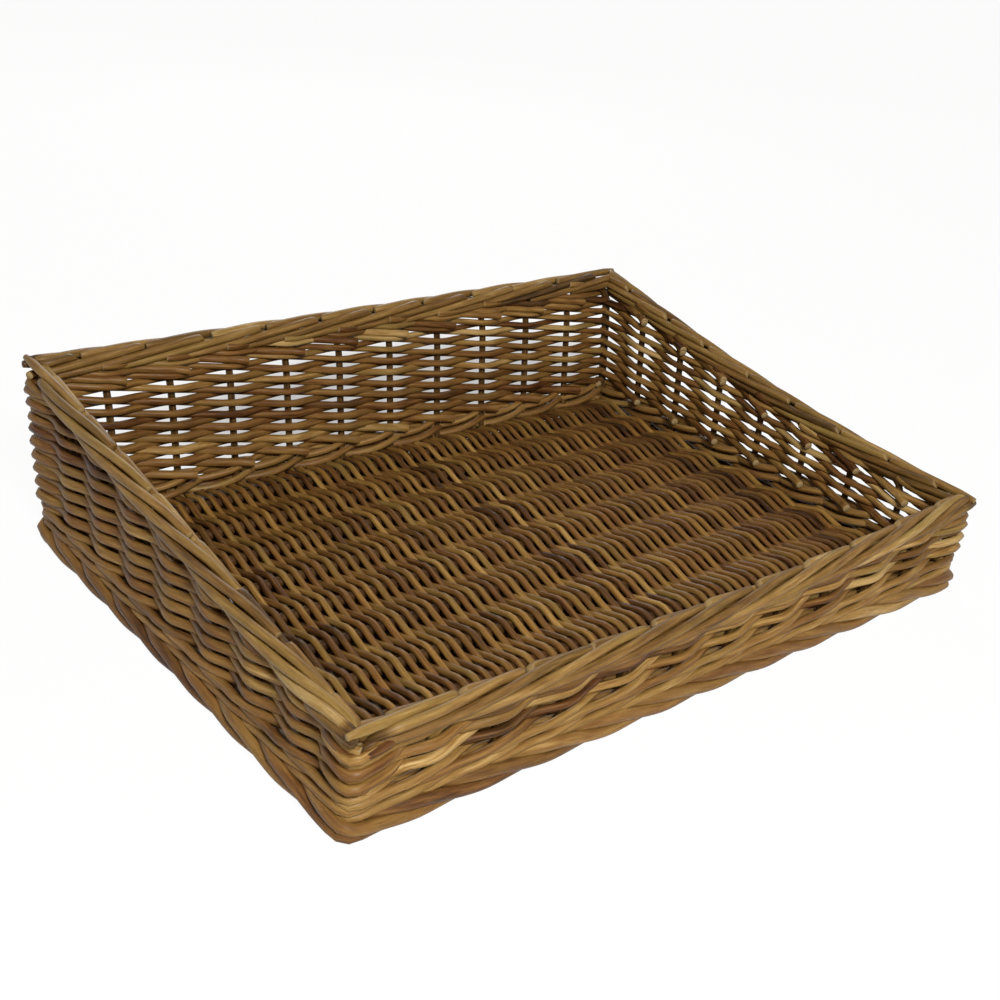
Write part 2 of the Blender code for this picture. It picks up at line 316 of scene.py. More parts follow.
# Thin wall rods differ most from one to the next: near black to straw, smooth but hardly glossy.
WALL_SKIN = WillowFinish("steamed_willow_wall", ("241407", "4a2b12", "684722", "7f5f30", "a68957"),
                         roughness=0.38, gloss=0.15, tint="6c582c")
# The base's rods lie in the tray's own shade: the same willow, darker.
BASE_SKIN = WillowFinish("steamed_willow_base", ("1f1006", "482c13", "674520", "7e5c2a", "977640"),
                         tint="5c4a22")
# The base's thick sticks: deep brown, far darker than the weave over them.
STICK_SKIN = WillowFinish("thick_willow_sticks", ("160b04", "2b190a", "3d2610", "4d3217", "5f4020"),
                          tint="3a2a14")


def eased(share: float) -> float:
    """A share from 0 to 1 that starts and ends gently."""
    return share * share * (3 - 2 * share)


def evenly(first: float, last: float, count: int) -> list[float]:
    """Even steps from the first value to the last, with both of them."""
    return [first + (last - first) * k / count for k in range(count + 1)]


@dataclass(frozen=True)
class TrayForm:
    """The plan, lean and rim of the tray, which every rod follows.

    A turn is a place along the walls, counted in bays from stake to stake: 0 is the back left corner,
    and it grows down the left wall, along the front, up the right wall and back along the back.
    """

    half_length: float = 287.453 * MM
    half_depth: float = 202.453 * MM
    side_bays: int = 8
    long_bays: int = 11
    back_rim: float = 133.866 * MM
    front_rim: float = 68.866 * MM
    corner_blend: float = 22 * MM
    back_lean: float = math.tan(math.radians(7.9))
    front_lean: float = math.tan(math.radians(2.8))
    left_lean: float = math.tan(math.radians(0.8))
    right_lean: float = math.tan(math.radians(1.9))
    middle: tuple[float, float] = (0.7 * MM, 7.5 * MM)
    wrapped_posts: tuple[int, ...] = (0, 8, 19)
    dips: tuple[float, float, float, float] = (1.5 * MM, 8.5 * MM, 8.5 * MM, 0.5 * MM)
    raised_corner: float = 6.5 * MM
    # Painted light: the front wall's rods get a paler tone, fading out this many bays past its corners.
    painted_light_fade: float = 0.8

    @property
    def bays(self) -> int:
        """The number of bays round the tray."""
        return 2 * (self.side_bays + self.long_bays)

    @property
    def corners(self) -> tuple[int, int, int, int]:
        """The turns at which the corner posts stand."""
        return 0, self.side_bays, self.side_bays + self.long_bays, 2 * self.side_bays + self.long_bays

    def wall(self, turn: float) -> Wall:
        """The wall on which a turn lies."""
        return list(Wall)[sum(turn % self.bays >= c for c in self.corners) - 1]

    def share(self, turn: float) -> float:
        """How far along its wall a turn lies, from 0 to 1."""
        number = self.wall(turn).number
        return (turn % self.bays - self.corners[number]) / (self.long_bays if number % 2 else self.side_bays)

    def gap(self, turn: float, posts: tuple[int, ...]) -> float:
        """How many bays lie between a turn and the nearest of some posts."""
        return min(abs((turn - p + self.bays / 2) % self.bays - self.bays / 2) for p in posts)

    def plan(self, turn: float, out: float) -> tuple[float, float]:
        """Finds a place in the plan, before the walls lean.

        Args:
            turn: The place along the walls, in bays.
            out: The distance outwards from the wall's middle.

        Returns:
            East and north, in metres.
        """
        wall = self.wall(turn)
        half, away = self.half_length, self.half_depth
        if wall in (Wall.LEFT, Wall.RIGHT):
            half, away = away, half
        forward = half * (2 * self.share(turn) - 1)
        near = max(0.0, 1 - (half - abs(forward)) / self.corner_blend)
        forward += math.copysign(out * eased(near), forward)
        away += out
        return {
            Wall.LEFT: (-away, -forward),
            Wall.FRONT: (forward, -away),
            Wall.RIGHT: (away, forward),
            Wall.BACK: (-forward, away),
        }[wall]

    def lean(self, east: float, north: float, height: float) -> Vector:
        """Leans a point of the upright tray and centres it, as the CAD does.

        Args:
            east: Its place along the tray.
            north: Its place across the tray.
            height: Its height.

        Returns:
            The point.
        """
        right_share = (east / self.half_length + 1) / 2
        back_share = (north / self.half_depth + 1) / 2
        lean_east = right_share * self.right_lean - (1 - right_share) * self.left_lean
        lean_north = back_share * self.back_lean - (1 - back_share) * self.front_lean
        return Vector((east + height * lean_east - self.middle[0],
                       north + height * lean_north - self.middle[1], height))

    def point(self, turn: float, out: float, height: float) -> Vector:
        """Finds a point on the leaning walls."""
        return self.lean(*self.plan(turn, out), height)

    def rim(self, turn: float) -> float:
        """Finds the height of the border's middle line.

        Args:
            turn: The place along the walls.

        Returns:
            The height. The border sags between the corners, and the front right corner stands high.
        """
        back_share = (self.plan(turn, 0)[1] / self.half_depth + 1) / 2
        straight = back_share * self.back_rim + (1 - back_share) * self.front_rim
        wall, share = self.wall(turn), self.share(turn)
        raised = {Wall.FRONT: share**4, Wall.RIGHT: (1 - share) ** 3}.get(wall, 0.0)
        return straight - self.dips[wall.number] * math.sin(math.pi * share) + self.raised_corner * raised

    def front_painted_light_share(self, turn: float) -> float:
        """How far a turn lies on the front wall, where the rods get painted light, a paler tone: 1 there, 0
        past its corners.
        """
        begin, end = self.corners[1:3]
        return max(0.0, 1 - max(begin - turn % self.bays, turn % self.bays - end, 0.0) / self.painted_light_fade)


FORM = TrayForm()


def smoothed(path: list[Vector], passes: int, chosen: list[bool] | None = None) -> list[Vector]:
    """Rounds the kinks of a path and keeps its two ends.

    Args:
        path: The points.
        passes: How many times each point moves towards its neighbours.
        chosen: Which points may move; all of them if it is left out.

    Returns:
        The smoother path.
    """
    points = [p.copy() for p in path]
    moves = chosen or [True] * len(path)
    for _ in range(passes):
        inner = [(a + 2 * b + c) / 4 if moved else b
                 for a, b, c, moved in zip(points, points[1:], points[2:], moves[1:])]
        points = [points[0], *inner, points[-1]]
    return points


def zigzag(phase: float, waves: tuple[int, ...] = (1, 3)) -> float:
    """Swings a rod past stakes.

    Args:
        phase: The place along the rod; at even phases the rod is at 1, at odd ones at -1.
        waves: The odd waves of which the swing is made. More of them give sharper bends.

    Returns:
        A rounded zigzag between 1 and -1.
    """
    return sum(math.cos(k * math.pi * phase) / k**2 for k in waves) / sum(1 / k**2 for k in waves)


@dataclass
class Wander:
    """A slow, small wandering off the drawn path, since no rod is quite straight."""

    chance: random.Random
    reach: float
    waves: list[tuple[float, float]] = field(init=False)

    def __post_init__(self) -> None:
        """Draws the waves."""
        self.waves = [(self.chance.uniform(0.5, 2.6), self.chance.uniform(0, math.tau)) for _ in range(3)]

    def at(self, turn: float) -> float:
        """The distance off the path at a turn."""
        return self.reach / 3 * sum(math.sin(rate * turn + start) for rate, start in self.waves)


class RodBundle:
    """A named piece made of many rods, each a closed tube with cut ends."""

    END_ROUND = 0.35 * MM
    END_WIDTH = 0.92

    def __init__(self, name: str, sides: int, seed: int) -> None:
        """Starts an empty piece.

        Args:
            name: The piece's name.
            sides: The number of sides round each rod.
            seed: The seed of its rods' tones.
        """
        self.name = name
        self.sides = sides
        self.chance = random.Random(seed)
        self.mesh = bmesh.new()
        self.tone = self.mesh.verts.layers.float.new("tone")
        self.pith = self.mesh.verts.layers.float.new("pith")
        self.skin = self.mesh.loops.layers.uv.new("rod")
        self.rods = 0

    def add(self, path: list[Vector], diameter: list[float], tone: float | list[float],
            fresh: float = 1.0, slant: float = 0.0) -> None:
        """Adds a rod.

        Args:
            path: The points of its middle line.
            diameter: Its diameter at each point.
            tone: Its tone from 0, dark, to 1, light, or the tone at each point.
            fresh: How much of the pith's pale colour the cut ends show.
            slant: How far its first end is cut askew, so that the cut face looks up; 1 is 45 degrees.
        """
        tones = tone if isinstance(tone, list) else [tone] * len(path)
        first, last = (path[0] - path[1]).normalized(), (path[-1] - path[-2]).normalized()
        points = [path[0] + first * self.END_ROUND] * 2 + path + [path[-1] + last * self.END_ROUND] * 2
        radii = [d / 2 for d in diameter]
        radii = [0, self.END_WIDTH * radii[0], *radii, self.END_WIDTH * radii[-1], 0]
        rows = len(points)
        grid = bmesh.ops.create_grid(self.mesh, x_segments=rows - 1, y_segments=self.sides, size=1)["verts"]
        frames = self.frames(path)
        frames = [frames[0]] * 2 + frames + [frames[-1]] * 2
        lengths = [0.0]
        for a, b in zip(points, points[1:]):
            lengths.append(lengths[-1] + (b - a).length)
        start = self.chance.uniform(0, 40)
        phase = self.chance.uniform(0, 1)
        for row in range(rows):
            right, up = frames[row]
            for side in range(self.sides + 1):
                angle = math.tau * (side % self.sides) / self.sides
                vert = grid[side * rows + row]
                spoke = radii[row] * (math.cos(angle) * right + math.sin(angle) * up)
                askew = first * (-slant * spoke.z) if row < 3 else Vector()
                vert.co = points[row] + spoke + askew
                vert[self.tone] = tones[min(max(row - 2, 0), len(path) - 1)]
                vert[self.pith] = fresh if row in (0, 1, rows - 2, rows - 1) else 0.0
        index = {v: k for k, v in enumerate(grid)}
        for face in {f for v in grid for f in v.link_faces}:
            for loop in face.loops:
                side, row = divmod(index[loop.vert], rows)
                loop[self.skin].uv = (start + lengths[row], phase + side / self.sides)
            face.smooth = True
        self.rods += 1

    @staticmethod
    def frames(path: list[Vector]) -> list[tuple[Vector, Vector]]:
        """Carries two directions across the rod along its path without twisting.

        Args:
            path: The points of its middle line.

        Returns:
            For each point, a pair of unit vectors across the rod.
        """
        ways = [(b - a).normalized() for a, b in zip(path, path[1:])]
        middles = [ways[0], *[(a + b).normalized() for a, b in zip(ways, ways[1:])], ways[-1]]
        up = middles[0].orthogonal().normalized()
        carried = []
        for before, now in zip([middles[0], *middles], middles):
            up.rotate(before.rotation_difference(now))
            up = (up - up.dot(now) * now).normalized()
            carried.append((up.cross(now), up.copy()))
        return carried

    def finish(self, material: bpy.types.Material, slot: Slot, nodes: list[str]) -> None:
        """Closes the rods' seams and hands the piece to the frame.

        Args:
            material: The rods' finish.
            slot: The record's slot; not used.
            nodes: The CAD nodes for which the piece stands.
        """
        bmesh.ops.remove_doubles(self.mesh, verts=self.mesh.verts, dist=0.00001 * MM)
        bmesh.ops.recalc_face_normals(self.mesh, faces=self.mesh.faces)
        piece = add_mesh(self.name, self.mesh, material)
        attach(piece, "root")
        if nodes:
            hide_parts(*nodes)
        faces = len(piece.data.polygons)
        LOG.info("%s: %d rods, %d faces, for %d nodes", self.name, self.rods, faces, len(nodes))


def nodes_named(*starts: str) -> list[str]:
    """The CAD nodes whose names start with one of these words."""
    return [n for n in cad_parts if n.startswith(starts)]


@dataclass
class RolledBorder:
    """Stakes that stand in the wall, bend over and roll round one another as the border.

    A stake rises on the border's outer side and is cut on top, near the inner edge. There a second
    rod is laid in, whose blunt butt shows, and it runs down the inner side. Each wall's border ends
    at its corner, where the next wall's first rods are laid over the ends.
    """

    reach: float = 7.15 * MM
    inner_share: float = 0.7
    stake: float = 5.9 * MM
    post: float = 7.6 * MM
    rod: float = 7.1 * MM
    cut_rod: float = 6.3 * MM
    butt: float = 7.0 * MM
    last_rod: float = 5.6 * MM
    outer_roll: float = math.radians(63)
    inner_roll: float = math.radians(50)
    start_angle: float = math.radians(-90)
    top_angle: float = math.radians(90)
    cut_angle: float = math.radians(113)
    butt_angle: float = math.radians(119)
    last_angle: float = math.radians(250)
    tucked_in: float = math.radians(40)
    fresh_cut: float = 0.55
    whittled: float = 0.8
    tuck: float = math.radians(42)
    tuck_bays: float = 1.4
    thinning_bays: float = 3.0
    butt_bays: float = 2.1
    butt_lift: float = 0.6 * MM
    overhang: float = 8.7 * MM
    least_overhang: float = 2 * MM
    inside_bays: float = 0.16
    outside_bays: float = 0.36
    past_corner: float = 0.02
    whittled_first: tuple[float, float] = (0.66, 0.86)
    post_inset: float = 3 * MM
    foot: float = 2.2 * MM
    rise: float = 9 * MM
    bend: float = 7 * MM
    steps: int = 10
    bend_steps: int = 6
    shortest: float = 0.4
    in_shade: float = 0.1
    post_shaded: int = 4
    stake_tones: tuple[float, float] = (0.55, 0.15)
    laid_tones: tuple[float, float] = (0.5, 0.16)
    stray: float = 0.5 * MM
    laid_stray: float = 0.6 * MM
    cut_spread: float = 0.04
    butt_spread: float = 0.03
    last_spread: float = 0.1
    slants: tuple[float, float] = (0.3, 1.2)
    chance: random.Random = field(default_factory=lambda: random.Random(11))

    def turn_at(self, stake: int, angle: float) -> float:
        """The turn at which a stake's rod has rolled to an angle."""
        outer = (min(angle, self.top_angle) - self.start_angle) / self.outer_roll
        return stake + outer + max(0.0, angle - self.top_angle) / self.inner_roll

    def angle_at(self, stake: int, turn: float) -> float:
        """Finds how far a stake's rod has rolled at a turn.

        Args:
            stake: The turn of the stake.
            turn: The turn, which may lie beyond a corner.

        Returns:
            The angle. Near the corners ahead of the stake the rods are drawn up towards the top.
        """
        angle = self.start_angle + self.outer_roll * (turn - stake)
        if angle > self.top_angle:
            angle = self.top_angle + (angle - self.top_angle) * self.inner_roll / self.outer_roll
        near = max([0.0, *[1 - abs(turn - c) / self.tuck_bays for c in self.corners_after(stake)]])
        return angle + eased(near) * self.tuck * max(0.0, 1 - angle / self.butt_angle)

    @staticmethod
    def corners_after(turn: float) -> list[int]:
        """The corners ahead of a turn, the first one counted once more at the end of the round."""
        return [c for c in (*FORM.corners[1:], FORM.bays) if c > turn]

    def roll(self, stake: int, turn: float, wander: Wander, lift: float = 0) -> Vector:
        """Finds a point on a rod's way round the border.

        Args:
            stake: The turn of the stake.
            turn: The turn of the point.
            wander: The rod's wandering.
            lift: How far the rod lies off its layer.

        Returns:
            The point.
        """
        angle = self.angle_at(stake, turn)
        reach = self.reach + wander.at(turn) + lift
        out = reach * math.cos(angle) * (self.inner_share if math.cos(angle) < 0 else 1)
        return FORM.point(turn, out, FORM.rim(turn) + reach * math.sin(angle))

    def turns(self, first: float, last: float) -> list[float]:
        """The turns between two at which a rod is drawn."""
        return evenly(first, last, max(2, math.ceil((last - first) * self.steps)))

    def spans(self, begin: float, end: float) -> list[tuple[float, float]]:
        """Cuts a rod's way at the corners and leaves out scraps."""
        marks = [begin, *[c for c in self.corners_after(begin) if c < end], end]
        return [(a, b) for a, b in zip(marks, marks[1:]) if b - a > self.shortest]

    def stake_rod(self, stake: int, end: float, light: float,
                  wander: Wander) -> tuple[list[Vector], list[float], list[float]]:
        """Draws a stake from its foot to where it is cut in the border.

        Args:
            stake: The turn of the stake.
            end: The turn at which it is cut.
            light: Its tone in the border; it is in shade in the wall, and a post round its bend too.
            wander: The rod's wandering.

        Returns:
            The points, and the diameter and the tone at each.
        """
        cornered = stake in FORM.corners
        thick = self.post if cornered else self.stake
        inset = -self.post_inset if stake in FORM.wrapped_posts else 0.0
        top = FORM.rim(stake) - self.reach - self.bend
        rises = max(3, round((top - self.foot) / self.rise))
        path = [FORM.point(stake, inset, height) for height in evenly(self.foot, top, rises)]
        widths = [thick] * len(path)
        for k, turn in enumerate(self.turns(stake, end)[1:]):
            path.append(self.roll(stake, turn, wander))
            rod = self.rod + (self.cut_rod - self.rod) * (turn - stake) / self.thinning_bays
            widths.append(rod + (thick - rod) * max(0.0, 1 - k / self.bend_steps))
        bent = [rises - 1 <= k < rises + 5 for k in range(len(path))]
        shaded = rises + (self.post_shaded if cornered else 0)
        tones = [self.in_shade if k < shaded else light for k in range(len(path))]
        widths[-1] *= self.whittled
        return smoothed(smoothed(path, 2, bent), 1), widths, tones

    def lead_in(self, stake: int, corner: int, wander: Wander) -> list[Vector]:
        """Lays a wall's first rod over the corner before it.

        Args:
            stake: The turn of the stake whose place in the border the rod takes.
            corner: The corner's turn.
            wander: The rod's wandering.

        Returns:
            The points before the corner. A rod on top comes along the mitre from the outer tip, a
            low one comes out of the wall, and the others jut out over the last wall's ends.
        """
        angle = self.angle_at(stake, corner)
        out = self.reach * math.cos(angle)
        if angle > self.top_angle:
            height = FORM.rim(corner) + self.reach * math.sin(angle)
            return [FORM.point(corner, out + (self.reach - out) * (1 - s), height + s * MM / 2)
                    for s in (0.0, 0.3, 0.6)]
        if angle < self.tucked_in:
            return [FORM.point(corner + self.inside_bays, -2 * MM, FORM.rim(corner) - self.reach)]
        first, ahead = self.roll(stake, corner, wander), self.roll(stake, corner + 0.2, wander)
        return [first + (first - ahead).normalized() * max(self.least_overhang, self.overhang - out)]

    def first_rod(self, stake: int, corner: int, end: float, wander: Wander) -> Rod:
        """Draws a rod with which a wall's border starts at its corner.

        Args:
            stake: The turn of the stake whose place in the border the rod takes.
            corner: The corner's turn.
            end: The turn at which the rod is cut.
            wander: The rod's wandering.

        Returns:
            The rod, whose first end is whittled.
        """
        path = self.lead_in(stake, corner, wander)
        low = self.angle_at(stake, corner) < self.tucked_in
        begin = corner + (self.outside_bays if low else self.past_corner)
        path += [self.roll(stake, turn, wander) for turn in self.turns(begin, end)]
        widths = evenly(self.butt, self.cut_rod, len(path))[:-1]
        widths[:2] = [share * width for share, width in zip(self.whittled_first, widths)]
        return smoothed(path, 2), widths

    def laid_in_rod(self, stake: int, begin: float, end: float, wander: Wander) -> Rod:
        """Draws the rod laid in where a stake is cut, from its butt down the border's inner side.

        Args:
            stake: The turn of the stake.
            begin: The turn of the butt.
            end: The turn of the far end.
            wander: The rod's wandering.

        Returns:
            The rod.
        """
        path, widths = [], []
        for turn in self.turns(begin, end):
            share = (turn - begin) / self.butt_bays
            path.append(self.roll(stake, turn, wander, self.butt_lift * max(0.0, 1 - 4 * share)))
            widths.append(self.butt + (self.last_rod - self.butt) * min(1.0, share))
        return smoothed(path, 1), [self.whittled * widths[0], *widths[1:]]

    def build(self, material: bpy.types.Material) -> None:
        """Builds the stakes of each wall, the corner posts and the laid-in rods.

        Args:
            material: The border's finish.
        """
        bundles = {wall: RodBundle(f"stakes_{wall.value}", 12, 20 + wall.number) for wall in Wall}
        posts = RodBundle("corner_posts", 12, 30)
        inserts = RodBundle("border_inserts", 12, 31)
        for stake in range(FORM.bays):
            target = posts if stake in FORM.corners else bundles[FORM.wall(stake)]
            cut = self.turn_at(stake, self.cut_angle)
            ends = self.spans(stake, cut + self.chance.gauss(0, self.cut_spread))
            wander = Wander(self.chance, self.stray)
            light = self.chance.gauss(*self.stake_tones)
            path, widths, tones = self.stake_rod(stake, ends[0][1], light, wander)
            cut_short = len(ends) > 1
            if cut_short:
                tones[-2:] = [2 * self.in_shade, self.in_shade]
            target.add(path, widths, tones, 0.0 if cut_short else self.fresh_cut)
            for corner, end in ends[1:]:
                path, widths = self.first_rod(stake, round(corner), end, Wander(self.chance, self.stray))
                tones = [self.chance.gauss(*self.laid_tones)] * len(path)
                low = self.angle_at(stake, round(corner)) < self.tucked_in
                if low:
                    tones[:2] = [self.in_shade, 2 * self.in_shade]
                inserts.add(path, widths, tones, 0.0 if low else self.fresh_cut)
            butt, last = (self.turn_at(stake, a) for a in (self.butt_angle, self.last_angle))
            butt += self.chance.gauss(0, self.butt_spread)
            last += self.chance.gauss(0, self.last_spread)
            for begin, end in self.spans(butt, last):
                wander = Wander(self.chance, self.laid_stray)
                slant = self.chance.uniform(*self.slants)
                inserts.add(*self.laid_in_rod(stake, begin, end, wander),
                            self.chance.gauss(*self.laid_tones), self.fresh_cut, slant)
        for wall, bundle in bundles.items():
            bundle.finish(material, Slot.BORDER, nodes_named(f"stake_{wall.value}"))
        posts.finish(material, Slot.BORDER, nodes_named("corner_post"))
        inserts.finish(material, Slot.BORDER, [])


@dataclass
class FrenchRand:
    """The walls' weave: a rod starts behind every stake, and all of them climb round the tray together."""

    first_height: float = 33.5 * MM
    climb: float = 5.05 * MM
    longest: float = 20.0
    shortest: float = 1.1
    swing: float = 6.0 * MM
    butt: float = 7.4 * MM
    body: float = 7.0 * MM
    tip: float = 6.2 * MM
    butt_bays: float = 0.5
    tip_bays: float = 17.0
    thickness: tuple[float, float, float, float] = (1.0, 0.82, 0.95, 1.1)
    front_painted_light: float = 0.05
    butt_overlap: float = 0.22
    butt_spring: float = 22 * MM
    under_border: float = 6.5 * MM
    turned_in: float = 0.5
    corner_out: float = 6.6 * MM
    corner_bays: float = 0.75
    rounded_bays: float = 0.34
    packer_drop: float = 14.0 * MM
    high_drop: float = 8.5 * MM
    packer_span: float = 2.3
    packer_share: float = 0.93
    drop_spread: float = 0.8 * MM
    tones: tuple[float, float] = (0.5, 0.17)
    widths: tuple[float, float] = (0.93, 1.07)
    rise_stray: float = 0.9 * MM
    side_stray: float = 0.4 * MM
    packer_stray: float = 0.5 * MM
    steps: int = 10
    chance: random.Random = field(default_factory=lambda: random.Random(5))

    def height(self, start: int, turn: float) -> float:
        """The height of the line that starts at a stake, at a turn."""
        return self.first_height + self.climb * (turn - start)

    def runs(self, start: int) -> list[tuple[float, float]]:
        """Finds where a line lies under the border, which cuts it into rods.

        Args:
            start: The turn of the stake at which the line starts.

        Returns:
            The first and last turn of each rod. A rod starts inside a stake, as its butt must.
        """
        found = []
        begin = None
        turn = start - self.butt_overlap
        while turn < start + self.longest:
            clear = FORM.rim(turn) - self.under_border - self.height(start, turn)
            if clear > 0 and begin is None:
                begin = start + 2 * math.ceil((turn - start) / 2) - self.butt_overlap
            if clear <= 0 and begin is not None:
                found.append((begin, turn))
                begin = None
            turn += 1 / self.steps
        return [(a, b) for a, b in found if b - a > self.shortest]

    def out(self, start: int, begin: float, turn: float) -> float:
        """Finds how far outwards a line lies at a turn.

        Args:
            start: The turn of the stake at which the line starts.
            begin: The turn of the rod's butt, which springs inwards past its stake.
            turn: The turn.

        Returns:
            The distance. Rods lie outside the wrapped posts, whichever way they swing.
        """
        stake = begin + self.butt_overlap
        if turn < stake:
            return -self.swing - self.butt_spring * (stake - turn)
        out = -self.swing * zigzag(turn - start)
        near = eased(max(0.0, 1 - FORM.gap(turn, FORM.wrapped_posts) / self.corner_bays))
        return out + near * (self.corner_out + math.copysign(MM, out) - out)

    def rounded(self, path: list[Vector], turns: list[float], passes: int) -> list[Vector]:
        """Rounds a rod where it passes a corner post."""
        return smoothed(path, passes, [FORM.gap(t, FORM.corners) < self.rounded_bays for t in turns])

    def rod(self, start: int, begin: float, end: float) -> tuple[list[Vector], list[float], list[float]]:
        """Draws one rod, whose far end turns in under the border.

        Args:
            start: The turn of the stake at which its line starts.
            begin: The rod's first turn.
            end: The rod's last turn.

        Returns:
            The points, and the diameter and the tone at each.
        """
        rise, side = Wander(self.chance, self.rise_stray), Wander(self.chance, self.side_stray)
        thick = self.chance.uniform(*self.widths) * self.thickness[FORM.wall(begin).number]
        turns = evenly(begin, end, round((end - begin) * self.steps))
        path = []
        for turn in turns:
            out = min(1.0, (end - turn) / self.turned_in) * self.out(start, begin, turn) + side.at(turn)
            path.append(FORM.point(turn, out, self.height(start, turn) + rise.at(turn)))
        tone = self.chance.gauss(*self.tones)
        # Painted light: the rod's tone is raised on the front wall, the lit side.
        return (self.rounded(path, turns, 1), [thick * self.width(t - begin) for t in turns],
                [tone + self.front_painted_light * FORM.front_painted_light_share(t) for t in turns])

    def width(self, along: float) -> float:
        """The diameter some bays from the butt."""
        body = self.body + (self.tip - self.body) * min(1.0, along / self.tip_bays)
        return body + (self.butt - self.body) * math.exp(-along / self.butt_bays)

    def packer(self, stake: int, drop: float) -> Rod:
        """Draws the short rod that fills the wall's top by a stake and ends inside the border.

        Args:
            stake: The turn of the stake.
            drop: How far below the border's middle line the rod begins.

        Returns:
            The rod, which thins twice as soon as the long ones.
        """
        wander = Wander(self.chance, self.packer_stray)
        drop += self.chance.gauss(0, self.drop_spread)
        begin = stake - self.butt_overlap
        turns = evenly(begin, begin + self.packer_span, round(self.packer_span * self.steps))
        path = [FORM.point(t, self.out(stake, begin, t),
                           FORM.rim(t) - drop + self.climb * (t - stake) + wander.at(t)) for t in turns]
        widths = [self.packer_share * self.width(2 * (t - begin)) for t in turns]
        return self.rounded(path, turns, 3), widths

    def build(self, material: bpy.types.Material) -> None:
        """Builds the rods, grouped by the wall on which they start.

        Args:
            material: The wall rods' finish.
        """
        bundles = {wall: RodBundle(f"wall_rods_{wall.value}", 8, 40 + wall.number) for wall in Wall}
        begun = set()
        for start in range(FORM.bays):
            for begin, end in self.runs(start):
                bundles[FORM.wall(begin)].add(*self.rod(start, begin, end))
                if begin > start:
                    begun.add(round(begin + self.butt_overlap) % FORM.bays)
        for stake in sorted(set(range(FORM.bays)) - set(FORM.corners)):
            drop = self.high_drop if stake in begun else self.packer_drop
            bundles[FORM.wall(stake)].add(*self.packer(stake, drop), self.chance.gauss(*self.tones))
        for wall, bundle in bundles.items():
            bundle.finish(material, Slot.WALL, nodes_named(f"weave_{wall.value}"))


@dataclass
class FootWale:
    """Rows of three rods woven together round the foot, each over two stakes and behind the third."""

    heights: tuple[float, ...] = (18.6 * MM, 27.2 * MM)
    joints: tuple[int, ...] = (0, 18)
    rod: float = 5.9 * MM
    thick_end: float = 1.05
    thinning: float = 0.12
    outside: float = 6.4 * MM
    inside: float = 6.0 * MM
    rise: float = 4.4 * MM
    bulge: float = 1.7 * MM
    front_painted_light: float = 0.12
    tones: tuple[float, float] = (0.48, 0.13)
    widths: tuple[float, float] = (0.95, 1.08)
    stray: float = 0.5 * MM
    steps: int = 8
    chance: random.Random = field(default_factory=lambda: random.Random(8))

    def place(self, strand: int, turn: float) -> tuple[float, float]:
        """Finds a strand's place in its row.

        Args:
            strand: 0, 1 or 2.
            turn: The turn.

        Returns:
            The distance outwards and the height over the row's middle.
        """
        phase = (turn - strand) % 3
        if phase > 1.5:
            phase -= 3
        out = (self.outside + self.inside) * eased(min(1.0, abs(phase))) - self.inside
        if phase < -1:
            out += self.bulge * math.sin(math.pi * (-1 - phase))
        if phase < -0.5:
            share = (phase + 2.5) / 2
        elif phase > 0.5:
            share = (phase - 0.5) / 2
        else:
            share = 0.5 - phase
        return out, self.rise * (2 * share - 1)

    def build(self, material: bpy.types.Material) -> None:
        """Builds the rows; each strand is laid round the tray once, in lengths that meet inside.

        Args:
            material: The rows' finish.
        """
        bundle = RodBundle("foot_wale", 10, 50)
        for height in self.heights:
            for strand in range(3):
                self.lay(bundle, height, strand)
        bundle.finish(material, Slot.WALE, nodes_named("foot_wale"))

    def lay(self, bundle: RodBundle, height: float, strand: int) -> None:
        """Lays one strand of a row, as rods that meet behind stakes.

        Args:
            bundle: The piece.
            height: The height of the row's middle.
            strand: 0, 1 or 2.
        """
        joints = [strand + joint for joint in (*self.joints, FORM.bays)]
        for begin, end in zip(joints, joints[1:]):
            wander = Wander(self.chance, self.stray)
            turns = evenly(begin, end, (end - begin) * self.steps)
            stretch = round((end - begin) / 3) * 3 / (end - begin)
            path = []
            for turn in turns:
                out, lift = self.place(strand, strand + (turn - begin) * stretch)
                path.append(FORM.point(turn, out, height + lift + wander.at(turn)))
            thick = self.rod * self.chance.uniform(*self.widths)
            widths = [thick * (self.thick_end - self.thinning * (t - begin) / (end - begin)) for t in turns]
            tone = self.chance.gauss(*self.tones)
            # Painted light: the rod's tone is raised on the front wall, the lit side.
            tones = [tone + self.front_painted_light * FORM.front_painted_light_share(t) for t in turns]
            bundle.add(smoothed(path, 1), widths, tones)


